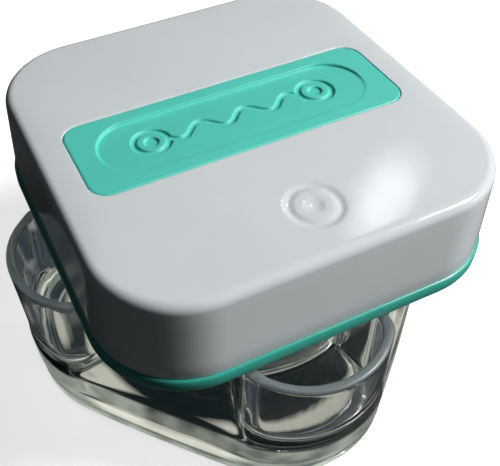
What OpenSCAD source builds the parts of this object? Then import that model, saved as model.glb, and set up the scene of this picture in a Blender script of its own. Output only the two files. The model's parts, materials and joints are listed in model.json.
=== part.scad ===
// Contact lens case: a clear square tub with a round cup inside, closed by a
// square lid. A rack hangs from the lid with two hinged baskets, one per lens.
// Origin: centre of the tub's underside. Z points up, X and Y lie along the
// tub's sides. The lid stands a little open, turned and raised on its thread.

/* [Tub] */
// Half of the tub's width at the rim
rim_half = 20.64; // [19:0.01:23]
// Radius of the tub's corners at the rim
rim_corner = 8.44; // [6:0.01:11]
// How far each side bows outwards at the rim
rim_bow = 0.39; // [0:0.01:1]
// Half of the tub's width at the foot
foot_half = 20.87; // [19:0.01:23]
// Radius of the tub's corners at the foot
foot_corner = 11.6; // [8:0.1:13]
// How far each side bows outwards at the foot
foot_bow = 0.95; // [0:0.01:1.4]
// Height of the tub's rim above the table
tub_h = 18; // [15:0.5:24]
// Thickness of the outer walls
wall = 1; // [0.8:0.1:1.6]
// Thickness of the bonded base plate
base_t = 3.4; // [2.4:0.1:3.4]
// Height of the ledge that closes the tub's underside
ledge_z = 6.8; // [5.8:0.1:8]

/* [Cup] */
// Outer radius of the round cup
cup_r = 16.4; // [15.6:0.1:16.8]
// Thickness of the cup's wall
cup_wall = 1.2; // [0.9:0.1:1.4]
// Thickness of the cup's floor
cup_floor_t = 1.2; // [0.8:0.1:2]
// Height of the threaded neck above the tub's rim
neck_h = 3.45; // [3:0.05:4]

/* [Lid] */
// Half of the lid's width at the foot of the white shell
lid_half = 21; // [20:0.1:23]
// Radius of the lid's corners
lid_corner = 9.4; // [7:0.1:11]
// Height of the lid, from the flange's underside to the top
lid_h = 11.1; // [10.5:0.1:14]
// Thickness of the coloured flange
flange_t = 1.6; // [1:0.1:2.5]
// How far the flange stands proud of the shell
flange_lip = 0.27; // [0:0.01:0.6]
// How far the shell's walls lean in towards the top
shell_draft = 0.58; // [0:0.02:1]
// Thickness of the shell
shell_t = 1.4; // [1:0.1:2]
// Turn of the lid against the tub, in degrees
lid_turn = 49; // [0:1:90]
// Gap between the tub's rim and the flange
lid_gap = 1.3; // [1.3:0.1:3]

/* [Label] */
// Half of the label's length
label_half_x = 17; // [12:0.5:18]
// Half of the label's width
label_half_y = 5.4; // [4:0.2:8]
// Radius of the label's corners
label_corner = 2; // [1:0.1:3]
// Thickness of the label
label_t = 1; // [0.6:0.1:1.2]

/* [Baskets] */
// Outer radius of a basket
basket_r = 5.7; // [5.4:0.1:5.8]
// Thickness of a basket's wall
basket_wall = 0.7; // [0.5:0.05:0.9]
// Number of slots in a basket
slot_count = 5; // [3:2:5]
// Radius of the hinge pins
pin_r = 0.45; // [0.4:0.05:0.5]

/* [Hidden] */
$fn = 96;
cut = 0.1;
slice_t = 0.01;

// Heights of the lid's layers
flange_z = tub_h + lid_gap;
shell_z = flange_z + flange_t;
top_z = flange_z + lid_h;
ceiling_t = 1.2;
seal_t = 1.15;
seal_gap = 0.05;
neck_z = tub_h + neck_h;
seal_z = neck_z + lid_gap + seal_gap;
ceiling_z = seal_z + seal_t + seal_gap;

// Thread: ribs on the neck and in the socket, clear of each other at their crests
rib_depth = 0.5;
rib_t = 0.9;
rib_arc = 64;
neck_rib_rise = 0.9;
socket_rib_rise = 0.2;
starts = 4;
socket_r = cup_r + 2 * rib_depth + 0.1;
socket_wall = 1;

// Foot rim under the base plate
foot_w = 2.4;
foot_h = 1.4;

// Recess in the middle of each side of the tub
recess_in = 5.8;
recess_slope = 0.667;
recess_in_y = 15.5;
recess_out_y = 24;

// Rack and hinges
rack_half_x = 6.6;
rack_half_y = 1;
rack_corner = 0.8;
rack_bottom = ceiling_z - 17.8;
hinge_y = 2.2;
hinge_z = rack_bottom + 12.8;
knuckle_r = 0.9;
knuckle_half = 2.8;
knuckle_arm_t = 1.2;
knuckle_arm_h = 2.6;
ear_in = 3.1;
ear_out = 4.3;
ear_root = 0.5;
pin_play = 0.05;
basket_y = rack_half_y + 0.3;
basket_z = hinge_z - knuckle_r - basket_r;
basket_straight = 1.4;
basket_rise = 3;
tab_w = 2.6;
tab_t = 2;
tab_h = 1.5;
tab_drop = 0.3;
slot_w = 1;
slot_pitch = 1.75;
slot_rim = 1.5;
seat_r = 4.2;
seat_rise = 1.6;
seat_slot_w = 0.9;
seat_slot_h = 5;
seat_slot_pitch = 2.2;
boss_r = 4;
boss_t = 1;
stem_r = 2;
stem_grip = 0.02;
stem_head_r = 2.7;
stem_head_t = 0.8;

// Colours
clear = [0.86, 0.9, 0.88, 0.35];
white = [0.9, 0.91, 0.92];
aqua = [0.36, 0.78, 0.71];

// Outline of a rounded square whose sides bow outwards by bow
function bowed(p, half, bow) = [
    p.x * (1 + bow / half * (1 - pow(p.y / half, 2))),
    p.y * (1 + bow / half * (1 - pow(p.x / half, 2)))
];

function corner_arc(half, r, turn, steps) = [
    for (i = [0:steps])
        let (a = turn + 90 * i / steps, c = half - r)
        [sign(cos(turn + 45)) * c + r * cos(a), sign(sin(turn + 45)) * c + r * sin(a)]
];

function side_points(p, q, steps) = [for (i = [1:steps - 1]) p + (q - p) * i / steps];

module bowed_square(half, r, bow) {
    corners = [for (k = [0:3]) corner_arc(half, r, 90 * k, 8)];
    outline = [
        for (k = [0:3]) each concat(
            corners[k], side_points(corners[k][8], corners[(k + 1) % 4][0], 6)
        )
    ];
    polygon([for (p = outline) bowed(p, half, bow)]);
}

// A thin slice of the tub's outline at height z, moved inwards by inset
module tub_slice(inset, z) {
    t = z / tub_h;
    translate([0, 0, z]) linear_extrude(slice_t)
        bowed_square(
            foot_half + (rim_half - foot_half) * t - inset,
            foot_corner + (rim_corner - foot_corner) * t - inset,
            foot_bow + (rim_bow - foot_bow) * t
        );
}

// The tub's tapering outline, filled from one height to another
module tub_block(inset, z_low, z_high) {
    hull() {
        tub_slice(inset, z_low);
        tub_slice(inset, z_high - slice_t);
    }
}

module rounded_rect(half_x, half_y, r) {
    square([2 * (half_x - r), 2 * half_y], center = true);
    square([2 * half_x, 2 * (half_y - r)], center = true);
    for (sx = [-1, 1], sy = [-1, 1])
        translate([sx * (half_x - r), sy * (half_y - r)]) circle(r);
}

// The wedge cut from the middle of each side, wider by extra on each flank
module side_recesses(extra) {
    out_w = recess_in + extra + (recess_out_y - recess_in_y) * recess_slope;
    in_w = recess_in + extra;
    for (k = [0:3])
        rotate(90 * k)
            polygon([
                [-in_w, -recess_in_y], [-out_w, -recess_out_y],
                [out_w, -recess_out_y], [in_w, -recess_in_y]
            ]);
}

// Short arcs of rib round the Z axis, one for each start of the thread
module thread_ribs(r_in, r_out, z) {
    for (k = [0:starts - 1])
        translate([0, 0, z])
            rotate(360 / starts * k)
                rotate_extrude(angle = rib_arc)
                    translate([r_in, 0]) square([r_out - r_in, rib_t]);
}

module tub_body() {
    floor_z = base_t + cup_floor_t;
    color(clear) difference() {
        union() {
            difference() {
                tub_block(0, base_t, tub_h);
                translate([0, 0, ledge_z]) linear_extrude(tub_h) side_recesses(0);
            }
            translate([0, 0, base_t]) cylinder(r = cup_r, h = neck_z - base_t);
            thread_ribs(cup_r - cut, cup_r + rib_depth, tub_h + neck_rib_rise);
        }
        translate([0, 0, floor_z]) cylinder(r = cup_r - cup_wall, h = neck_z);
        difference() {
            tub_block(wall, ledge_z, tub_h + cut);
            translate([0, 0, ledge_z - cut])
                linear_extrude(tub_h) side_recesses(wall * norm([1, recess_slope]));
            cylinder(r = cup_r, h = tub_h + 1);
        }
    }
}

module tub_base() {
    color(clear) difference() {
        tub_block(0, 0, base_t);
        translate([0, 0, -cut])
            linear_extrude(foot_h + cut)
                bowed_square(foot_half - foot_w, foot_corner - foot_w, foot_bow);
    }
}

// A thin slice of the shell's outline, for the shell's smooth hulls
module shell_slice(half, r, z) {
    translate([0, 0, z]) linear_extrude(slice_t) rounded_rect(half, half, r, $fn = 32);
}

module lid_shell() {
    edge_r = 1;
    slices = 5;
    ceiling_drop = 0.2;
    top_half = lid_half - shell_draft;
    top_r = lid_corner - shell_draft;
    color(white) rotate(lid_turn) difference() {
        hull() {
            shell_slice(lid_half, lid_corner, shell_z);
            for (i = [0:slices - 1])
                let (a = 90 * i / (slices - 1), in = edge_r * (1 - cos(a)))
                shell_slice(top_half - in, top_r - in, top_z - slice_t - edge_r * (1 - sin(a)));
        }
        hull() {
            shell_slice(lid_half - shell_t, lid_corner - shell_t, shell_z - cut);
            shell_slice(top_half - shell_t, top_r - shell_t, top_z - shell_t - ceiling_drop);
        }
        translate([0, 0, top_z - label_t])
            linear_extrude(label_t + cut) rounded_rect(label_half_x, label_half_y, label_corner);
    }
}

module label_panel() {
    play = 0.02;
    color(aqua) rotate(lid_turn) translate([0, 0, top_z - label_t])
        linear_extrude(label_t)
            rounded_rect(label_half_x - play, label_half_y - play, label_corner - play);
}

module lid_liner() {
    step_h = 1.4;
    step_gap = 0.2;
    step_half = lid_half - shell_t - step_gap;
    step_r = lid_corner - shell_t - step_gap;
    flange_half = lid_half + flange_lip;
    color(aqua) rotate(lid_turn) {
        difference() {
            union() {
                translate([0, 0, flange_z])
                    linear_extrude(flange_t)
                        rounded_rect(flange_half, flange_half, lid_corner + flange_lip);
                translate([0, 0, shell_z])
                    linear_extrude(step_h)
                        difference() {
                            rounded_rect(step_half, step_half, step_r);
                            rounded_rect(step_half - wall, step_half - wall, step_r - wall);
                        }
                translate([0, 0, flange_z])
                    cylinder(r = socket_r + socket_wall, h = ceiling_z + ceiling_t - flange_z);
            }
            translate([0, 0, flange_z - cut]) cylinder(r = socket_r, h = ceiling_z - flange_z + cut);
            translate([0, 0, ceiling_z - cut]) cylinder(r = stem_r, h = ceiling_t + 2 * cut);
        }
        thread_ribs(socket_r - rib_depth, socket_r + cut, flange_z + socket_rib_rise);
    }
}

module seal_ring() {
    seal_in = cup_r - 2;
    seal_w = 2.8;
    color("gainsboro") rotate_extrude()
        translate([seal_in, seal_z]) square([seal_w, seal_t]);
}

// A round-bottomed cup opening downwards: a straight wall, then a spherical cap
module dome(r, straight, rise) {
    ball = (r * r + rise * rise) / (2 * rise);
    cylinder(r = r, h = straight);
    translate([0, 0, straight]) intersection() {
        cylinder(r = r, h = rise);
        translate([0, 0, rise - ball]) sphere(r = ball);
    }
}

// A cylinder along X, centred on the origin
module x_rod(r, half) {
    rotate([0, 90, 0]) cylinder(r = r, h = 2 * half, center = true);
}

module lens_rack() {
    plate_h = ceiling_z - rack_bottom;
    ear_t = ear_out - ear_in;
    ear_l = hinge_y - ear_root;
    color(white) rotate(lid_turn) {
        difference() {
            union() {
                translate([0, rack_half_y, rack_bottom + plate_h / 2])
                    rotate([90, 0, 0])
                        linear_extrude(2 * rack_half_y)
                            rounded_rect(rack_half_x, plate_h / 2, rack_corner);
                for (side = [-1, 1])
                    translate([0, side * rack_half_y, basket_z])
                        rotate([-side * 90, 0, 0]) dome(seat_r, slice_t, seat_rise);
            }
            for (i = [-1:1])
                translate([i * seat_slot_pitch, 0, basket_z])
                    cube([seat_slot_w, 4 * hinge_y, seat_slot_h], center = true);
        }
        for (side = [-1, 1], sx = [-1, 1])
            translate([sx * (ear_in + ear_out) / 2, side * hinge_y, hinge_z])
                difference() {
                    union() {
                        x_rod(knuckle_r, ear_t / 2);
                        translate([-ear_t / 2, side > 0 ? -ear_l : 0, -knuckle_r])
                            cube([ear_t, ear_l, 2 * knuckle_r]);
                    }
                    x_rod(pin_r, ear_out);
                }
        translate([0, 0, ceiling_z - boss_t]) cylinder(r = boss_r, h = boss_t);
        translate([0, 0, ceiling_z - boss_t])
            cylinder(r = stem_r + stem_grip, h = ceiling_t + boss_t);
        translate([0, 0, ceiling_z + ceiling_t]) cylinder(r = stem_head_r, h = stem_head_t);
    }
}

module basket() {
    difference() {
        union() {
            translate([0, basket_y, basket_z])
                rotate([-90, 0, 0]) dome(basket_r, basket_straight, basket_rise);
            translate([0, hinge_y, hinge_z]) x_rod(knuckle_r, knuckle_half);
            translate([-knuckle_half, basket_y, hinge_z - knuckle_arm_h])
                cube([2 * knuckle_half, knuckle_arm_t, knuckle_arm_h]);
            translate([-tab_w / 2, basket_y, basket_z - basket_r - tab_drop])
                cube([tab_w, tab_t, tab_h]);
        }
        translate([0, basket_y - cut, basket_z])
            rotate([-90, 0, 0])
                dome(basket_r - basket_wall, basket_straight + cut, basket_rise - basket_wall);
        translate([0, hinge_y, hinge_z]) x_rod(pin_r + pin_play, ear_out);
        for (i = [-(slot_count - 1) / 2:(slot_count - 1) / 2])
            let (x = i * slot_pitch, z = sqrt(pow(basket_r - slot_rim, 2) - x * x))
            translate([x - slot_w / 2, basket_y + basket_straight + 2 * cut, basket_z - z])
                cube([slot_w, basket_r, 2 * z]);
    }
}

module left_basket() {
    color(aqua) rotate(lid_turn) basket();
}

module right_basket() {
    color(white) rotate(lid_turn + 180) basket();
}

module hinge_pin(side) {
    color("silver") rotate(lid_turn)
        translate([0, side * hinge_y, hinge_z]) x_rod(pin_r, ear_out + 0.1);
}

tub_body();
tub_base();
lid_shell();
lid_liner();
label_panel();
seal_ring();
lens_rack();
left_basket();
right_basket();
hinge_pin(1);  // left_hinge_pin
hinge_pin(-1);  // right_hinge_pin
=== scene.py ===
import json
import math

import bpy
import numpy as np
from mathutils import Matrix, Quaternion, Vector

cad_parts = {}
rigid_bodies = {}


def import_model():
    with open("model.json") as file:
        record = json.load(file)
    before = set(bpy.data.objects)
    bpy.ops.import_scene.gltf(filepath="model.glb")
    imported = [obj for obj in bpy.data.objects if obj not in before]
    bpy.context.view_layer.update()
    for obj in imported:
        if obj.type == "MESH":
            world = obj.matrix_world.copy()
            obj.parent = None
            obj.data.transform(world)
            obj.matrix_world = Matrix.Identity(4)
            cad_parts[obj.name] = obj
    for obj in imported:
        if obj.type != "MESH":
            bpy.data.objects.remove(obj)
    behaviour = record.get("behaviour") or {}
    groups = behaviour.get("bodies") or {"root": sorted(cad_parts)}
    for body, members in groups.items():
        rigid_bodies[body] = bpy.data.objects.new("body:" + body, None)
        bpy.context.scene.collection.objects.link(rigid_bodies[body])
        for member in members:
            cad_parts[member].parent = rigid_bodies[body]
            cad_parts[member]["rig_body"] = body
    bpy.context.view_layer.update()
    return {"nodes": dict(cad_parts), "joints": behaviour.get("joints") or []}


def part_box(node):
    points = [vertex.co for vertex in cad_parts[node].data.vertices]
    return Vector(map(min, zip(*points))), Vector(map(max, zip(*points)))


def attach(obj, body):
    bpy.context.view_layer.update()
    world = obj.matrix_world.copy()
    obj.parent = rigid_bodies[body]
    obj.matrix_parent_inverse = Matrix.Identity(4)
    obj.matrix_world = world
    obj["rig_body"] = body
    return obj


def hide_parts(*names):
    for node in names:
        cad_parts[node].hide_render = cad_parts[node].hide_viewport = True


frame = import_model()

# A contact lens case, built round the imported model. Lengths are in millimetres
# until add_mesh() turns them into the frame's metres.
MM = 0.001


def low(node):
    """The lowest corner of a CAD node's box."""
    return np.array(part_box(node)[0]) / MM


def high(node):
    """The highest corner of a CAD node's box."""
    return np.array(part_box(node)[1]) / MM


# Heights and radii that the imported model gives, and the seal's width
HINGE_AXIS = next(j for j in frame["joints"] if j["name"] == "left_basket_hinge")["axis"]
LID_TURN = math.atan2(HINGE_AXIS[1], HINGE_AXIS[0])
BASE_TOP = high("tub_base")[2]
NECK_TOP = high("tub_body")[2]
FLANGE_Z = low("lid_liner")[2]
SHELL_Z = low("lid_shell")[2]
LID_TOP = high("lid_shell")[2]
LINER_TOP = high("lid_liner")[2]
LABEL_T = LID_TOP - low("label_panel")[2]
SEAL_LOW = low("seal_ring")[2]
SEAL_HIGH = high("seal_ring")[2]
SEAL_OUT = high("seal_ring")[0]
SEAL_W = 2.8

# Tub
TUB_TOP = 18.0
RIM_HALF = 20.64
RIM_CORNER = 8.44
RIM_BOW = 0.39
FOOT_HALF = 20.87
FOOT_CORNER = 11.6
FOOT_BOW = 0.95
TUB_WALL = 1.0
LEDGE_Z = 6.8
BOND = 0.03
CUP_R = 16.4
CUP_WALL = 1.2
CUP_FLOOR = BASE_TOP + 1.2
RECESS_IN = 5.8
RECESS_IN_Y = 15.5
RECESS_SLOPE = 0.667
FOOT_RIM_W = 2.4
FOOT_RIM_H = 1.4

# Thread: four ribs on the neck and four in the socket
THREAD_STARTS = 4
THREAD_ARC = math.radians(64)
THREAD_RISE = 1.7
RIB_HALF = 0.45
RIB_DEPTH = 0.48

# Rounds in the tub: at its lips, and where the lobes' sides turn in
LIP_ROUND = 0.35
LOBE_ROUND = 1.2

# Lid
LID_HALF = 21.0
LID_CORNER = 9.4
LID_DRAFT = 0.58
SHELL_T = 1.4
FLANGE_LIP = 0.27
SOCKET_R = 17.5
SOCKET_WALL = 1.0
CEILING_Z = LINER_TOP - 1.2
STEM_R = 2.0
LABEL_HALF = (17.0, 5.4)
LABEL_CORNER = 2.0

# Marks in the lid's top: the bed and strokes in the label, and a ring in the shell
BED_HALF = (14.6, 3.85)
BED_DEPTH = 0.34
STROKE_W = 0.55
STROKE_DEPTH = 0.22
RING_AT = (0.3, -14.5)
RING_R = 2.35
RING_W = 0.8
RING_DEPTH = 0.14

# Points round every outline: steps along each corner's arc and each side
ARC = 20
SIDE = 24

# The camera's direction, distance, slide and lens, fitted to the view of the case
VIEW_AZIMUTH = math.radians(25.33)
VIEW_ELEVATION = math.radians(47.94)
VIEW_ROLL = -0.0328
VIEW_DISTANCE = 80.4
VIEW_SLIDE = (-4.59, -5.59)
LENS = 51.88
LENS_SHIFT = (0.115, 0.0214)

# The point that the lights aim at
FOCUS = (0, 0, 20)


# ---------------------------------------------------------------- mesh helpers

def add_mesh(name, verts, faces, body, material, node=None, turned=False):
    """A smooth mesh piece in the row frame that rides on a body."""
    verts = np.asarray(verts, float)
    if turned:
        c, s = math.cos(LID_TURN), math.sin(LID_TURN)
        verts = verts @ np.array([[c, s, 0], [-s, c, 0], [0, 0, 1]])
    mesh = bpy.data.meshes.new(name)
    mesh.from_pydata((verts * MM).tolist(), [], [list(map(int, f)) for f in faces])
    mesh.polygons.foreach_set("use_smooth", [True] * len(mesh.polygons))
    mesh.materials.append(material)
    mesh.validate()
    piece = bpy.data.objects.new(name, mesh)
    bpy.context.scene.collection.objects.link(piece)
    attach(piece, body)
    if node:
        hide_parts(node)


def outline(half_x, half_y, r, bow=0.0, side=SIDE):
    """A rounded rectangle, anticlockwise, whose sides may bow outwards."""
    centres = [(half_x - r, half_y - r), (r - half_x, half_y - r)]
    centres += [(r - half_x, r - half_y), (half_x - r, r - half_y)]
    arcs = []
    for k, (cx, cy) in enumerate(centres):
        a = math.pi / 2 * (k + np.linspace(0, 1, ARC + 1))
        arcs.append(np.stack([cx + r * np.cos(a), cy + r * np.sin(a)], 1))
    points = []
    for k in range(4):
        start, end = arcs[k][-1], arcs[(k + 1) % 4][0]
        along = np.linspace(0, 1, side + 1)[1:-1, None]
        points += [arcs[k], start + (end - start) * along]
    p = np.concatenate(points)
    return p * (1 + bow / half_x * (1 - (p[:, ::-1] / half_x) ** 2))


def tub_sizes(z):
    """Half width, corner radius and bow of the tub at height z."""
    t = z / TUB_TOP
    half = FOOT_HALF + (RIM_HALF - FOOT_HALF) * t
    corner = FOOT_CORNER + (RIM_CORNER - FOOT_CORNER) * t
    return half, corner, FOOT_BOW + (RIM_BOW - FOOT_BOW) * t


def tub_outline(inset, z):
    """The tub's outline at height z, drawn in by inset."""
    half, corner, bow = tub_sizes(z)
    return outline(half - inset, half - inset, corner - inset, bow)


def ring(points, z):
    """An outline's points at height z."""
    return np.column_stack([points, np.full(len(points), z)])


def circle_like(points, r):
    """A circle whose points lie at the same angles as those of an outline."""
    a = np.arctan2(points[:, 1], points[:, 0])
    return np.stack([r * np.cos(a), r * np.sin(a)], 1)


def loft(rings, caps=True):
    """Quads between rings of equal length. Flat ends are closed, or the ends are joined."""
    n = len(rings[0])
    verts = np.concatenate(rings)
    faces = []
    pairs = list(zip(range(len(rings) - 1), range(1, len(rings))))
    if not caps:
        pairs.append((len(rings) - 1, 0))
    for a, b in pairs:
        for i in range(n):
            j = (i + 1) % n
            faces.append((a * n + i, a * n + j, b * n + j, b * n + i))
    if caps:
        faces.append(tuple(range(n))[::-1])
        last = (len(rings) - 1) * n
        faces.append(tuple(range(last, last + n)))
    return verts, faces


def fillet(start, end, steps=5):
    """Offsets (inset, z) of a quarter round from start to end, vertical at start."""
    (i0, z0), (i1, z1) = start, end
    a = np.linspace(0, math.pi / 2, steps + 1)
    return [(i0 + (i1 - i0) * (1 - math.cos(t)), z0 + (z1 - z0) * math.sin(t)) for t in a]


def round_over(start, end, steps=5):
    """Offsets (inset, z) of a quarter round from start to end, level at start."""
    return fillet(end, start, steps)[::-1]


# ------------------------------------------------------- solids from a field

def surface_net(field, axes):
    """Quads on the zero surface of field(points), negative inside, over a grid with
    the given axes, then pulled onto the surface itself."""
    grid = np.stack(np.meshgrid(*axes, indexing="ij"), -1)
    value = field(grid.reshape(-1, 3)).reshape(grid.shape[:3])
    inside = value < 0
    corners = [(i, j, k) for i in (0, 1) for j in (0, 1) for k in (0, 1)]
    size = np.array(value.shape) - 1

    def shifted(a, c):
        return a[c[0]:c[0] + size[0], c[1]:c[1] + size[1], c[2]:c[2] + size[2]]

    count = sum(shifted(inside, c).astype(np.int8) for c in corners)
    active = (count > 0) & (count < 8)
    cell = np.full(active.shape, -1, np.int64)
    where = np.argwhere(active)
    cell[active] = np.arange(len(where))
    values = [value[tuple((where + c).T)] for c in corners]
    places = [grid[tuple((where + c).T)] for c in corners]
    total = np.zeros((len(where), 3))
    hits = np.zeros(len(where))
    for a in range(8):
        for b in range(a + 1, 8):
            if sum(abs(p - q) for p, q in zip(corners[a], corners[b])) != 1:
                continue
            crosses = (values[a] < 0) != (values[b] < 0)
            t = np.where(crosses, values[a] / np.where(crosses, values[a] - values[b], 1), 0)
            point = places[a] + (places[b] - places[a]) * t[:, None]
            total += point * crosses[:, None]
            hits += crosses
    verts = total / hits[:, None]

    faces = []
    for axis in range(3):
        one = np.roll([1, 0, 0], axis)
        u, v = np.roll([0, 1, 0], axis), np.roll([0, 0, 1], axis)
        here = inside[:size[0], :size[1], :size[2]]
        there = shifted(inside, tuple(one))
        at = np.argwhere(here != there)
        at = at[(at[:, (axis + 1) % 3] > 0) & (at[:, (axis + 2) % 3] > 0)]
        quad = np.stack([cell[tuple((at - d).T)] for d in (0 * one, u, u + v, v)], 1)
        out = here[tuple(at.T)]
        faces += [quad[out], quad[~out][:, ::-1]]
    faces = np.concatenate(faces)

    reach = 0.5 * min(float(np.diff(a).min()) for a in axes)
    step = 1e-3
    for _ in range(4):
        f = field(verts)
        grad = np.stack([
            (field(verts + step * e) - field(verts - step * e)) / (2 * step) for e in np.eye(3)
        ], 1)
        move = -f[:, None] * grad / np.maximum((grad ** 2).sum(1), 0.05)[:, None]
        length = np.linalg.norm(move, axis=1)
        verts = verts + move * np.minimum(1, reach / np.maximum(length, 1e-9))[:, None]
    return verts, faces


def smax(a, b, k):
    """The larger of two fields, with a round of about k where they meet."""
    h = np.maximum(k - np.abs(a - b), 0) / k
    return np.maximum(a, b) + h * h * k / 4


def smin(a, b, k):
    """The smaller of two fields, rounded in the same way."""
    return -smax(-a, -b, k)


def square_field(x, y, half, r, bow):
    """Distance outside a rounded square whose sides bow outwards."""
    px = np.abs(x) / (1 + bow / half * (1 - np.minimum(np.abs(y) / half, 1) ** 2))
    py = np.abs(y) / (1 + bow / half * (1 - np.minimum(np.abs(x) / half, 1) ** 2))
    qx, qy = px - (half - r), py - (half - r)
    outside = np.hypot(np.maximum(qx, 0), np.maximum(qy, 0))
    return outside + np.minimum(np.maximum(qx, qy), 0) - r


# -------------------------------------------------------------------- materials

def new_material(name, color, roughness, **inputs):
    """A Principled material. Other inputs are named with _ in place of spaces."""
    material = bpy.data.materials.new(name)
    material.use_nodes = True
    shader = material.node_tree.nodes["Principled BSDF"]
    shader.inputs["Base Color"].default_value = (*color, 1)
    shader.inputs["Roughness"].default_value = roughness
    for key, value in inputs.items():
        shader.inputs[key.replace("_", " ")].default_value = value
    return material, material.node_tree, shader


def noise(tree, size_mm, detail=2.0):
    """Noise whose lumps are about size_mm across."""
    where = tree.nodes.new("ShaderNodeTexCoord")
    node = tree.nodes.new("ShaderNodeTexNoise")
    node.inputs["Scale"].default_value = 1 / (size_mm * MM)
    node.inputs["Detail"].default_value = detail
    tree.links.new(where.outputs["Object"], node.inputs["Vector"])
    return node


def vary(tree, source, target, lowest, highest):
    """A shader input that follows a noise between two values."""
    spread = tree.nodes.new("ShaderNodeMapRange")
    spread.inputs["From Min"].default_value = 0.3
    spread.inputs["From Max"].default_value = 0.7
    spread.inputs["To Min"].default_value = lowest
    spread.inputs["To Max"].default_value = highest
    tree.links.new(source.outputs[0], spread.inputs["Value"])
    tree.links.new(spread.outputs[0], target)


def tint(tree, source, target, first, second):
    """A colour that follows a noise between two colours."""
    ramp = tree.nodes.new("ShaderNodeValToRGB")
    ramp.color_ramp.elements[0].position = 0.35
    ramp.color_ramp.elements[1].position = 0.65
    ramp.color_ramp.elements[0].color = (*first, 1)
    ramp.color_ramp.elements[1].color = (*second, 1)
    tree.links.new(source.outputs[0], ramp.inputs["Fac"])
    tree.links.new(ramp.outputs["Color"], target)


def bump(tree, shader, source, strength, height_mm):
    """A bump that follows a noise, height_mm deep."""
    node = tree.nodes.new("ShaderNodeBump")
    node.inputs["Strength"].default_value = strength
    node.inputs["Distance"].default_value = height_mm * MM
    tree.links.new(source.outputs[0], node.inputs["Height"])
    tree.links.new(node.outputs["Normal"], shader.inputs["Normal"])


def between(tree, value, start, end):
    """0 below start and 1 above end, or the other way round if end is lower."""
    step = tree.nodes.new("ShaderNodeMapRange")
    rising = end > start
    step.inputs["From Min"].default_value = min(start, end)
    step.inputs["From Max"].default_value = max(start, end)
    step.inputs["To Min"].default_value = 0 if rising else 1
    step.inputs["To Max"].default_value = 1 if rising else 0
    tree.links.new(value, step.inputs["Value"])
    return step.outputs[0]


def combine(tree, operation, first, second):
    """A maths node on two values, each a number or a socket."""
    node = tree.nodes.new("ShaderNodeMath")
    node.operation = operation
    for slot, value in zip(node.inputs, (first, second)):
        if isinstance(value, (int, float)):
            slot.default_value = value
        else:
            tree.links.new(value, slot)
    return node.outputs[0]


def mixed(tree, factor, first, second):
    """A colour between two, each a tuple or a socket."""
    mix = tree.nodes.new("ShaderNodeMix")
    mix.data_type = "RGBA"
    tree.links.new(factor, mix.inputs[0])
    for slot, value in zip(mix.inputs[6:8], (first, second)):
        if isinstance(value, tuple):
            slot.default_value = (*value, 1)
        else:
            tree.links.new(value, slot)
    return mix.outputs[2]


def band(tree, value, start, end, soft):
    """1 between start and end, fading to 0 over soft outside them."""
    rise = between(tree, value, start - soft, start)
    return combine(tree, "MULTIPLY", rise, between(tree, value, end + soft, end))


def tub_masks(tree):
    """1 on the upward faces of the tub's rim, which is frosted and gets a faint painted glow, and 1
    on the outer sides near its foot, which get a painted glow.
    """
    where = tree.nodes.new("ShaderNodeTexCoord")
    place = tree.nodes.new("ShaderNodeSeparateXYZ")
    facing = tree.nodes.new("ShaderNodeSeparateXYZ")
    reach = tree.nodes.new("ShaderNodeVectorMath")
    reach.operation = "LENGTH"
    tree.links.new(where.outputs["Object"], place.inputs[0])
    tree.links.new(where.outputs["Normal"], facing.inputs[0])
    tree.links.new(where.outputs["Object"], reach.inputs[0])
    height, up = place.outputs["Z"], facing.outputs["Z"]
    rim = band(tree, height, (TUB_TOP - 0.3) * MM, (TUB_TOP + 0.1) * MM, 0.3 * MM)
    rim = combine(tree, "MULTIPLY", rim, between(tree, up, 0.1, 0.5))
    body = band(tree, height, (BASE_TOP + 0.25) * MM, (LEDGE_Z - 0.6) * MM, 0.4 * MM)
    base = band(tree, height, 0.5 * MM, (BASE_TOP - 0.35) * MM, 0.3 * MM)
    base = combine(tree, "MULTIPLY", base, 0.7)
    upright = band(tree, up, -0.3, 0.3, 0.3)
    side = combine(tree, "MULTIPLY", combine(tree, "MAXIMUM", body, base), upright)
    outer = between(tree, reach.outputs["Value"], 19.5 * MM, 20.5 * MM)
    return rim, combine(tree, "MULTIPLY", side, outer)


def clear_plastic(name):
    """Clear plastic, slightly wavy, with a frosted rim that carries a faint painted glow, and a
    painted glow in blotches on the outer sides from the foot up to the ledge.
    """
    material, tree, shader = new_material(name, (1, 1, 1), 0.02, IOR=1.5)
    rim, foot = tub_masks(tree)
    spread = tree.nodes.new("ShaderNodeMapRange")
    spread.inputs["To Max"].default_value = 0.05
    tree.links.new(noise(tree, 6).outputs[0], spread.inputs["Value"])
    rough = combine(tree, "MAXIMUM", spread.outputs[0], combine(tree, "MULTIPLY", rim, 0.35))
    tree.links.new(rough, shader.inputs["Roughness"])
    clear = combine(tree, "SUBTRACT", 1.0, combine(tree, "MULTIPLY", rim, 0.5))
    tree.links.new(clear, shader.inputs["Transmission Weight"])
    tree.links.new(mixed(tree, rim, (1, 1, 1), RIM_TINT), shader.inputs["Base Color"])
    # Painted light: the emission lays a glow in blotches on the sides near the foot, and a faint
    # glow on the rim
    painted_patches = between(tree, noise(tree, 5).outputs[0], 0.3, 0.62)
    glow = mixed(tree, foot, (0, 0, 0), mixed(tree, painted_patches, PAINTED_FOOT_GLOW_DIM, PAINTED_FOOT_GLOW_BRIGHT))
    tree.links.new(mixed(tree, rim, glow, PAINTED_RIM_GLOW), shader.inputs["Emission Color"])
    shader.inputs["Emission Strength"].default_value = 1
    bump(tree, shader, noise(tree, 4, 1), 0.35, 0.07)
    absorb = tree.nodes.new("ShaderNodeVolumeAbsorption")
    absorb.inputs["Color"].default_value = (*BULK_TINT, 1)
    absorb.inputs["Density"].default_value = BULK_DENSITY
    tree.links.new(absorb.outputs[0], tree.nodes["Material Output"].inputs["Volume"])
    return material


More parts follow.
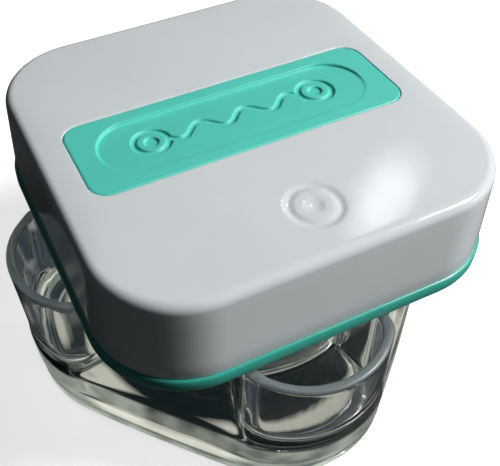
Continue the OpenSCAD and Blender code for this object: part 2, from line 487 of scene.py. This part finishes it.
def moulded(name, color, roughness, grain=0.02, spread=0.03, **inputs):
    """Opaque moulded plastic: uneven gloss, faint clouding and a fine grain."""
    material, tree, shader = new_material(name, color, roughness, IOR=1.5, **inputs)
    cloud = noise(tree, 9)
    vary(tree, cloud, shader.inputs["Roughness"], roughness * 0.85, roughness * 1.2)
    darker = tuple(c * (1 - spread) for c in color)
    tint(tree, cloud, shader.inputs["Base Color"], darker, color)
    bump(tree, shader, noise(tree, 0.12, 3), 0.3, grain)
    return material


def steel(name):
    """Steel with uneven gloss."""
    material, tree, shader = new_material(name, (0.6, 0.6, 0.58), 0.25, Metallic=1.0)
    vary(tree, noise(tree, 0.3), shader.inputs["Roughness"], 0.18, 0.36)
    return material


# Clear plastic: the frosted rim's tint, the painted glow on the rim and along the foot, and what the
# bulk absorbs
RIM_TINT = (0.2, 0.23, 0.24)
PAINTED_RIM_GLOW = (0.045, 0.055, 0.06)
PAINTED_FOOT_GLOW_DIM = (0.05, 0.06, 0.05)
PAINTED_FOOT_GLOW_BRIGHT = (0.3, 0.33, 0.28)
BULK_TINT = (0.5, 0.62, 0.58)
BULK_DENSITY = 30

CLEAR = clear_plastic("clear_plastic")
WHITE = moulded("white_plastic", (0.80, 0.86, 0.88), 0.055, Specular_IOR_Level=0.28)
AQUA = moulded("aqua_plastic", (0.05, 0.47, 0.38), 0.32)
AQUA_LABEL = moulded("aqua_label", (0.12, 0.77, 0.64), 0.42, grain=0.03)
RACK = moulded("rack_plastic", (0.82, 0.83, 0.83), 0.3)
SILICONE = moulded("silicone", (0.72, 0.73, 0.71), 0.5)
STEEL = steel("pin_steel")


# ------------------------------------------------------------------- the pieces

def tub_side(x, y, z):
    """Distance outside the tub's tapering outline."""
    return square_field(x, y, *tub_sizes(z))


def tub_field(p):
    """The tub's body: a slab with four open lobes and a round cup with a threaded neck.
    The last value in each smax and smin is the round there."""
    x, y, z = p[:, 0], p[:, 1], p[:, 2]
    r = np.hypot(x, y)
    u = np.minimum(np.abs(x), np.abs(y))
    v = np.maximum(np.abs(x), np.abs(y))
    flank = u - RECESS_IN - (v - RECESS_IN_Y) * RECESS_SLOPE
    flank = flank / math.hypot(1, RECESS_SLOPE)
    foot = BASE_TOP - BOND
    side = tub_side(x, y, z)

    slab = smax(side, z - LEDGE_Z, 0.7)
    lobes = smax(smax(side, -flank, LOBE_ROUND), z - TUB_TOP, LIP_ROUND)
    cup = smax(r - CUP_R, z - NECK_TOP, LIP_ROUND)
    solid = smin(smin(slab, lobes, 0.9), cup, 1.4)
    solid = smin(solid, thread_field(x, y, z, r), 0.25)
    solid = smax(solid, foot - z, 0.3)

    pocket = smax(smax(side + TUB_WALL, TUB_WALL - flank, 1.6), CUP_R - r, LOBE_ROUND)
    pocket = smax(pocket, LEDGE_Z - z, 2.4)
    bore = smax(r - (CUP_R - CUP_WALL), CUP_FLOOR - z, 2.2)
    return smax(smax(solid, -pocket, LIP_ROUND), -bore, LIP_ROUND)


def thread_field(x, y, z, r):
    """Four short helical ribs on the neck, each tapered at its ends."""
    a = np.mod(np.arctan2(y, x), 2 * math.pi / THREAD_STARTS)
    along = np.clip(a / THREAD_ARC, 0, 1)
    height = TUB_TOP + 0.75 + THREAD_RISE * along
    past = np.maximum(np.abs(a - THREAD_ARC / 2) - THREAD_ARC / 2, 0) * CUP_R
    ends = np.minimum(a, THREAD_ARC - a) * CUP_R
    crest = CUP_R + RIB_DEPTH * np.clip(ends / 2.0, 0, 1)
    rib = smax(np.abs(z - height) - RIB_HALF, r - crest, 0.25)
    return smax(rib, past - 0.1, 0.2)


def make_tub():
    """The clear moulding, on fine levels as far as the ledge and again from the rim up."""
    step = 0.36
    across = np.arange(-22, 22 + step, step)
    fine, coarse = 0.25, 1.1
    levels = np.concatenate([
        np.arange(BASE_TOP - 0.3, LEDGE_Z + 2.2, fine),
        np.arange(LEDGE_Z + 2.2, TUB_TOP - 0.6, coarse),
        np.arange(TUB_TOP - 0.6, NECK_TOP + 0.4, fine),
    ])
    verts, faces = surface_net(tub_field, (across, across, levels))
    add_mesh("tub_moulding", verts, faces, "tub", CLEAR, "tub_body")


def make_base():
    """The plate under the tub, from its hollow underside round the foot rim to its top."""
    w, h, edge, top = FOOT_RIM_W, FOOT_RIM_H, 0.3, BASE_TOP + BOND
    profile = [(w + 0.6, h), *round_over((w + 0.5, h), (w, h - edge), 3)]
    profile += fillet((w, 0.15), (w - 0.2, 0), 3)
    profile += round_over((0.5, 0), (0, 0.5), 5)
    profile += fillet((0, top - edge), (edge, top), 4)
    verts, faces = loft([ring(tub_outline(i, z), z) for i, z in profile])
    add_mesh("tub_foot", verts, faces, "tub", CLEAR, "tub_base")


def ring_mark(p):
    """Depth of the ring and the drop pressed into the shell's top at points p."""
    r = np.hypot(p[:, 0] - RING_AT[0], p[:, 1] - RING_AT[1])
    groove = np.clip(1 - (2 * (r - RING_R) / RING_W) ** 2, 0, 1)
    dot = np.clip(1 - (r / 0.9) ** 2, 0, 1)
    return RING_DEPTH * np.maximum(groove, dot) ** 0.7


def make_shell():
    """The white shell: inner ceiling, wall, outer wall, rounded top and the label's bed."""
    edge, lip, crown, side, across = 1.0, 0.12, 0.1, 110, 60
    half, r = LID_HALF, LID_CORNER

    def square(inset):
        return outline(half - inset, half - inset, r - min(inset, r - 1), side=side)

    lean = LID_DRAFT / (LID_TOP - 1 - SHELL_Z)
    inner_top, inset = LID_TOP - SHELL_T, SHELL_T + LID_DRAFT
    rings = [ring(square(inset + 0.9), inner_top)]
    inner = fillet((inset, inner_top - 0.8), (inset + 0.8, inner_top), 4)
    rings += [ring(square(i), z) for i, z in reversed(inner)]
    rings += [ring(square(SHELL_T), SHELL_Z + 0.15), ring(square(SHELL_T - 0.15), SHELL_Z)]
    rings += [ring(square(0.12), SHELL_Z), ring(square(0.03), SHELL_Z + 0.04)]
    for z in np.linspace(SHELL_Z + 0.12, LID_TOP - edge - crown, 6):
        rings.append(ring(square(lean * (z - SHELL_Z)), z))
    rounded = fillet((LID_DRAFT, LID_TOP - edge - crown), (LID_DRAFT + edge, LID_TOP - crown), 10)
    rings += [ring(square(i), z) for i, z in rounded[1:]]
    start = rings[-1][:, :2]
    bed = outline(LABEL_HALF[0] + lip, LABEL_HALF[1] + lip, LABEL_CORNER + lip, side=side)
    for t in np.linspace(0, 1, across + 1)[1:]:
        p = start + (bed - start) * t
        rings.append(np.column_stack([p, LID_TOP - crown * (1 - t) ** 2 - ring_mark(p)]))
    for inset, drop in ((0.05, 0.02), (0.08, 0.07), (0.08, LABEL_T), (1.0, LABEL_T)):
        hx, hy, rr = (c + lip - inset for c in (*LABEL_HALF, LABEL_CORNER))
        rings.append(ring(outline(hx, hy, rr, side=side), LID_TOP - drop))
    verts, faces = loft(rings)
    add_mesh("white_shell", verts, faces, "lid", WHITE, "lid_shell", True)


def make_liner():
    """The inner lid: flange, step inside the shell, round socket and ceiling."""
    half, r = LID_HALF + FLANGE_LIP, LID_CORNER + FLANGE_LIP
    square = outline(half, half, r)

    def grown(inset):
        return outline(half - inset, half - inset, r - inset)

    def circles(*sizes):
        return [ring(circle_like(square, q), z) for q, z in sizes]

    def squares(*sizes):
        return [ring(grown(inset), z) for inset, z in sizes]

    out_r = SOCKET_R + SOCKET_WALL
    step, step_z = FLANGE_LIP + SHELL_T + 0.2, SHELL_Z + 1.3
    rings = circles(*[(q, LINER_TOP) for q in (STEM_R, 6, 11, out_r - 0.5)])
    rings += circles((out_r - 0.12, LINER_TOP - 0.12), (out_r, LINER_TOP - 0.5))
    rings += circles((out_r, SHELL_Z + 1.5), (out_r + 0.02, SHELL_Z))
    rings += squares((step + 1.0, SHELL_Z), (step + 0.95, step_z), (step + 0.05, step_z))
    rings += squares((step, SHELL_Z + 0.02))
    upper = ((0.42, 0), (0.3, 0.015), (0.12, 0.1), (0.02, 0.24))
    lower = ((0, 0.25), (0.06, 0.08), (0.25, 0))
    rings += squares(*[(i, SHELL_Z - d) for i, d in upper])
    rings += squares(*[(i, FLANGE_Z + d) for i, d in lower])
    rings += circles((SOCKET_R + 0.2, FLANGE_Z), (SOCKET_R, FLANGE_Z + 0.2))
    rings += circles((SOCKET_R, CEILING_Z - 0.4), (SOCKET_R - 0.1, CEILING_Z - 0.1))
    rings += circles(*[(q, CEILING_Z) for q in (SOCKET_R - 0.4, 13, 8, STEM_R)])
    verts, faces = loft(rings, caps=False)
    add_mesh("aqua_liner", verts, faces, "lid", AQUA, "lid_liner", True)


def make_socket_ribs():
    """Four ribs inside the socket, which slide under the ribs on the neck."""
    back, edge = SOCKET_R + 0.15, 0.12
    for k in range(THREAD_STARTS):
        rings = []
        for t in np.linspace(0, 1, 41):
            a = 2 * math.pi / THREAD_STARTS * k + THREAD_ARC * t
            crest = SOCKET_R - RIB_DEPTH * np.clip(10 * min(t, 1 - t), 0, 1) + 0.03
            z = FLANGE_Z + 0.6 + THREAD_RISE * t
            section = [(back, -RIB_HALF - 0.1), (crest + edge, -RIB_HALF)]
            section.append((crest, -RIB_HALF + edge))
            section += [(r, -up) for r, up in reversed(section)]
            rings.append(np.array([(r * math.cos(a), r * math.sin(a), z + up) for r, up in section]))
        verts, faces = loft(rings)
        add_mesh(f"socket_rib_{k + 1}", verts, faces, "lid", AQUA, turned=True)


def motif(x, y):
    """Distance from the strokes in the label: two lens rings joined by a wave."""
    ring_x, ring_r, swing = 9.2, 1.75, 0.85
    rings = np.abs(np.hypot(np.abs(x) - ring_x, y) - ring_r)
    end = ring_x - ring_r
    wave_y = swing * np.sin(x * math.pi * 3 / end)
    slope = swing * math.pi * 3 / end * np.cos(x * math.pi * 3 / end)
    wave = np.abs(y - wave_y) / np.hypot(1, slope)
    wave = np.hypot(wave, np.maximum(np.abs(x) - end, 0))
    dots = np.maximum(np.hypot(np.abs(x) - ring_x, y) - 0.45, 0)
    return np.minimum(np.minimum(rings, wave), dots)


def label_field(p):
    """The inlay: a panel with a stadium-shaped bed, deep along its far side and running
    out at its near one, and strokes sunk into it."""
    x, y, z = p[:, 0], p[:, 1], p[:, 2]
    top, bottom = LID_TOP, LID_TOP - LABEL_T + 0.02

    def rounded(half_x, half_y, r):
        qx, qy = np.abs(x) - half_x + r, np.abs(y) - half_y + r
        return np.hypot(np.maximum(qx, 0), np.maximum(qy, 0)) + np.minimum(np.maximum(qx, qy), 0) - r

    panel = smax(rounded(*LABEL_HALF, LABEL_CORNER), z - top, 0.25)
    panel = smax(panel, bottom - z, 0.1)
    depth = BED_DEPTH * np.clip(0.5 + y / (1.6 * BED_HALF[1]), 0.02, 1)
    bed = smax(rounded(*BED_HALF, BED_HALF[1] - 0.05), top - depth - z, 0.2)
    floor = np.where(rounded(*BED_HALF, BED_HALF[1] - 0.05) < 0, depth, 0)
    strokes = smax(motif(x, y) - STROKE_W / 2, top - floor - STROKE_DEPTH - z, 0.15)
    return smax(smax(panel, -bed, 0.12), -strokes, 0.12)


def make_label():
    """The inlay in the shell's top, as a fine mesh of its field."""
    step = 0.14
    hx, hy = LABEL_HALF
    top, bottom = LID_TOP, LID_TOP - LABEL_T
    levels = np.concatenate([
        [bottom - 0.15], np.arange(bottom - 0.05, bottom + 0.2, 0.1),
        np.arange(bottom + 0.3, top + 0.2, 0.1),
    ])
    axes = np.arange(-hx - 0.5, hx + 0.5, step), np.arange(-hy - 0.5, hy + 0.5, step), levels
    verts, faces = surface_net(label_field, axes)
    add_mesh("aqua_inlay", verts, faces, "lid", AQUA_LABEL, "label_panel", True)


def revolve(profile, steps=128):
    """Rings of a profile of (radius, z) turned about the case's axis."""
    a = np.linspace(0, 2 * math.pi, steps, endpoint=False)
    unit = np.stack([np.cos(a), np.sin(a)], 1)
    return [ring(unit * r, z) for r, z in profile]


def make_seal():
    """A flat gasket with eased edges and a shallow groove under it."""
    inner = SEAL_OUT - SEAL_W
    low_z, high_z = SEAL_LOW, SEAL_HIGH
    middle = (inner + SEAL_OUT) / 2
    profile = [(inner, low_z + 0.3), (inner, high_z - 0.3), (inner + 0.1, high_z - 0.1)]
    profile += [(inner + 0.3, high_z), (SEAL_OUT - 0.3, high_z), (SEAL_OUT - 0.1, high_z - 0.1)]
    profile += [(SEAL_OUT, high_z - 0.3), (SEAL_OUT, low_z + 0.3), (SEAL_OUT - 0.1, low_z + 0.1)]
    profile += [(SEAL_OUT - 0.3, low_z), (middle + 0.5, low_z), (middle + 0.35, low_z + 0.12)]
    profile += [(middle - 0.35, low_z + 0.12), (middle - 0.5, low_z), (inner + 0.3, low_z)]
    profile += [(inner + 0.1, low_z + 0.1)]
    verts, faces = loft(revolve(profile[::-1]), caps=False)
    add_mesh("gasket", verts, faces, "seal", SILICONE, "seal_ring")


def soften(node, name, material, width):
    """A copy of a CAD node with its edges rounded, in its place."""
    source = frame["nodes"][node]
    mesh = source.data.copy()
    mesh.materials.clear()
    mesh.materials.append(material)
    mesh.polygons.foreach_set("material_index", [0] * len(mesh.polygons))
    piece = bpy.data.objects.new(name, mesh)
    bpy.context.scene.collection.objects.link(piece)
    weld = piece.modifiers.new("weld", "WELD")
    weld.merge_threshold = 1e-6
    rounds = piece.modifiers.new("rounds", "BEVEL")
    rounds.width = width * MM
    rounds.segments = 2
    rounds.limit_method = "ANGLE"
    rounds.angle_limit = math.radians(35)
    rounds.harden_normals = True
    piece.modifiers.new("normals", "WEIGHTED_NORMAL").keep_sharp = True
    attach(piece, source["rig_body"])
    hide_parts(node)


# ----------------------------------------------------------- camera and light

def make_camera():
    """The camera, above and to the right of the front, turned slightly about its axis."""
    back = Vector((
        math.sin(VIEW_AZIMUTH) * math.cos(VIEW_ELEVATION),
        -math.cos(VIEW_AZIMUTH) * math.cos(VIEW_ELEVATION),
        math.sin(VIEW_ELEVATION),
    ))
    right = Vector((math.cos(VIEW_AZIMUTH), math.sin(VIEW_AZIMUTH), 0))
    up = back.cross(right)
    right, up = (
        right * math.cos(VIEW_ROLL) + up * math.sin(VIEW_ROLL),
        up * math.cos(VIEW_ROLL) - right * math.sin(VIEW_ROLL),
    )
    place = Vector((0, 0, FLANGE_Z)) + back * VIEW_DISTANCE
    place = place + right * VIEW_SLIDE[0] + up * VIEW_SLIDE[1]
    data = bpy.data.cameras.new("camera")
    data.sensor_width = 36
    data.lens = LENS
    data.shift_x, data.shift_y = LENS_SHIFT
    data.clip_start = 0.001
    data.dof.use_dof = False
    camera = bpy.data.objects.new("camera", data)
    matrix = Matrix((right, up, back)).transposed().to_4x4()
    matrix.translation = place * MM
    camera.matrix_world = matrix
    bpy.context.scene.collection.objects.link(camera)
    bpy.context.scene.camera = camera


def area_light(name, place, size, power, color=(1, 1, 1), roll=0):
    """A soft panel at a place, aimed at the case and rolled about its own axis."""
    data = bpy.data.lights.new(name, "AREA")
    data.shape = "RECTANGLE"
    data.size, data.size_y = size[0] * MM, size[1] * MM
    data.energy = power
    data.color = color
    light = bpy.data.objects.new(name, data)
    light.location = Vector(place) * MM
    aim = (Vector(FOCUS) - Vector(place)).to_track_quat("-Z", "Y")
    turned = aim @ Quaternion((0, 0, 1), math.radians(roll))
    light.rotation_euler = turned.to_euler()
    bpy.context.scene.collection.objects.link(light)


def rays(tree):
    """Sockets that are 1 for rays straight from the eye, and for rays bent by the tub."""
    path = tree.nodes.new("ShaderNodeLightPath")
    first = combine(tree, "LESS_THAN", path.outputs["Diffuse Depth"], 0.5)
    bent = combine(tree, "MULTIPLY", path.outputs["Is Transmission Ray"], first)
    return path.outputs["Is Camera Ray"], bent


# The floor to the eye, and to every other ray, where it is dark grey and paints shade into the
# case's walls and reflections
PALE = (0.9, 0.9, 0.9)
PALE_GLOW = (0.72, 0.72, 0.72)
PAINTED_SHADE_GREY = (0.04, 0.04, 0.04)

# The floor through the tub, which paints light and shade into the case: a painted shadow under it, a
# painted tan highlight ring at its edge, and beyond, dark painted shade with pale painted highlights
PAINTED_SHADOW_BLACK = (0.006, 0.01, 0.011)
PAINTED_HIGHLIGHT_TAN = (0.6, 0.59, 0.5)
PAINTED_SHADE_BLUE_BLACK = (0.035, 0.048, 0.058)
PAINTED_HIGHLIGHT_PATCH = (0.5, 0.52, 0.47)

# The world to the eye, through the tub, and to every other ray
BACKDROP = (0.86, 0.87, 0.88)
ROOM_THROUGH = (0.09, 0.10, 0.10)
ROOM = (0.025, 0.028, 0.03)


def floor_material():
    """Pale to the eye. Seen through the tub it glows with painted light and shade: a painted shadow
    under the case, a painted tan highlight ring at its edge, and dark painted shade beyond with pale
    painted highlight blotches.
    """
    material, tree, shader = new_material("floor", PALE, 0.7)
    seen, bent = rays(tree)
    where = tree.nodes.new("ShaderNodeTexCoord")
    reach = tree.nodes.new("ShaderNodeVectorMath")
    reach.operation = "LENGTH"
    tree.links.new(where.outputs["Object"], reach.inputs[0])
    away = reach.outputs["Value"]
    # Seen through the tub the floor is painted: a shadow under the case, a highlight ring at its
    # edge, and highlight blotches beyond on the -X side
    ring_in = between(tree, away, 18.2 * MM, 19.0 * MM)
    ring_out = between(tree, away, 21.3 * MM, 20.3 * MM)
    outside = between(tree, away, 20.5 * MM, 24 * MM)
    painted_patches = between(tree, noise(tree, 5, 1).outputs[0], 0.52, 0.75)
    painted_patches = combine(tree, "MULTIPLY", painted_patches, between(tree, away, 36 * MM, 27 * MM))
    side = tree.nodes.new("ShaderNodeSeparateXYZ")
    tree.links.new(where.outputs["Object"], side.inputs[0])
    painted_patches = combine(tree, "MULTIPLY", painted_patches, between(tree, side.outputs["X"], 0, -8 * MM))
    far = mixed(tree, painted_patches, PAINTED_SHADE_BLUE_BLACK, PAINTED_HIGHLIGHT_PATCH)
    painted_shadow_beneath = mixed(tree, outside, PAINTED_SHADOW_BLACK, far)
    painted_tan_ring = combine(tree, "MULTIPLY", ring_in, ring_out)
    through = mixed(tree, painted_tan_ring, painted_shadow_beneath, PAINTED_HIGHLIGHT_TAN)
    # To every ray but the eye's, the floor is dark grey: painted shade for the case's walls and
    # reflections
    tree.links.new(mixed(tree, seen, PAINTED_SHADE_GREY, PALE), shader.inputs["Base Color"])
    tree.links.new(mixed(tree, bent, PALE_GLOW, through), shader.inputs["Emission Color"])
    tree.links.new(combine(tree, "MAXIMUM", seen, bent), shader.inputs["Emission Strength"])
    return material


def make_floor():
    """A wide floor just under the case."""
    half, sink = 1500, 0.1
    verts = [(-half, -half), (half, -half), (half, half), (-half, half)]
    mesh = bpy.data.meshes.new("floor")
    mesh.from_pydata([(x * MM, y * MM, -sink * MM) for x, y in verts], [], [(0, 1, 2, 3)])
    mesh.materials.append(floor_material())
    floor = bpy.data.objects.new("floor", mesh)
    bpy.context.scene.collection.objects.link(floor)


def toward(azimuth, elevation, distance):
    """A point at a distance from the case; azimuth 0 is +X."""
    a, e = math.radians(azimuth), math.radians(elevation)
    return (
        distance * math.cos(a) * math.cos(e),
        distance * math.sin(a) * math.cos(e),
        distance * math.sin(e) + FOCUS[2],
    )


def make_world():
    """Pale to the eye. What lights and fills the case is a dim room."""
    world = bpy.data.worlds.new("studio")
    world.use_nodes = True
    tree = world.node_tree
    back = tree.nodes["Background"]
    seen, bent = rays(tree)
    room = mixed(tree, bent, ROOM, ROOM_THROUGH)
    tree.links.new(mixed(tree, seen, room, BACKDROP), back.inputs["Color"])
    bpy.context.scene.world = world


def make_light():
    """The room, a key light, a low fill and a narrow window behind the case."""
    make_world()
    area_light("key", toward(23, 43, 420), (110, 110), 1.78, (1, 0.99, 0.98))
    area_light("fill", toward(20, 14, 500), (150, 60), 0.27)
    area_light("window", toward(91.6, 45, 600), (9, 62), 0.1, roll=-14)
    bpy.context.scene.view_settings.view_transform = "Standard"


make_camera()
make_floor()
make_light()
make_tub()
make_base()
make_shell()
make_liner()
make_socket_ribs()
make_label()
make_seal()
soften("lens_rack", "rack", RACK, 0.15)
soften("left_basket", "basket_left", AQUA, 0.12)
soften("right_basket", "basket_right", RACK, 0.12)
soften("left_hinge_pin", "pin_left", STEEL, 0.08)
soften("right_hinge_pin", "pin_right", STEEL, 0.08)
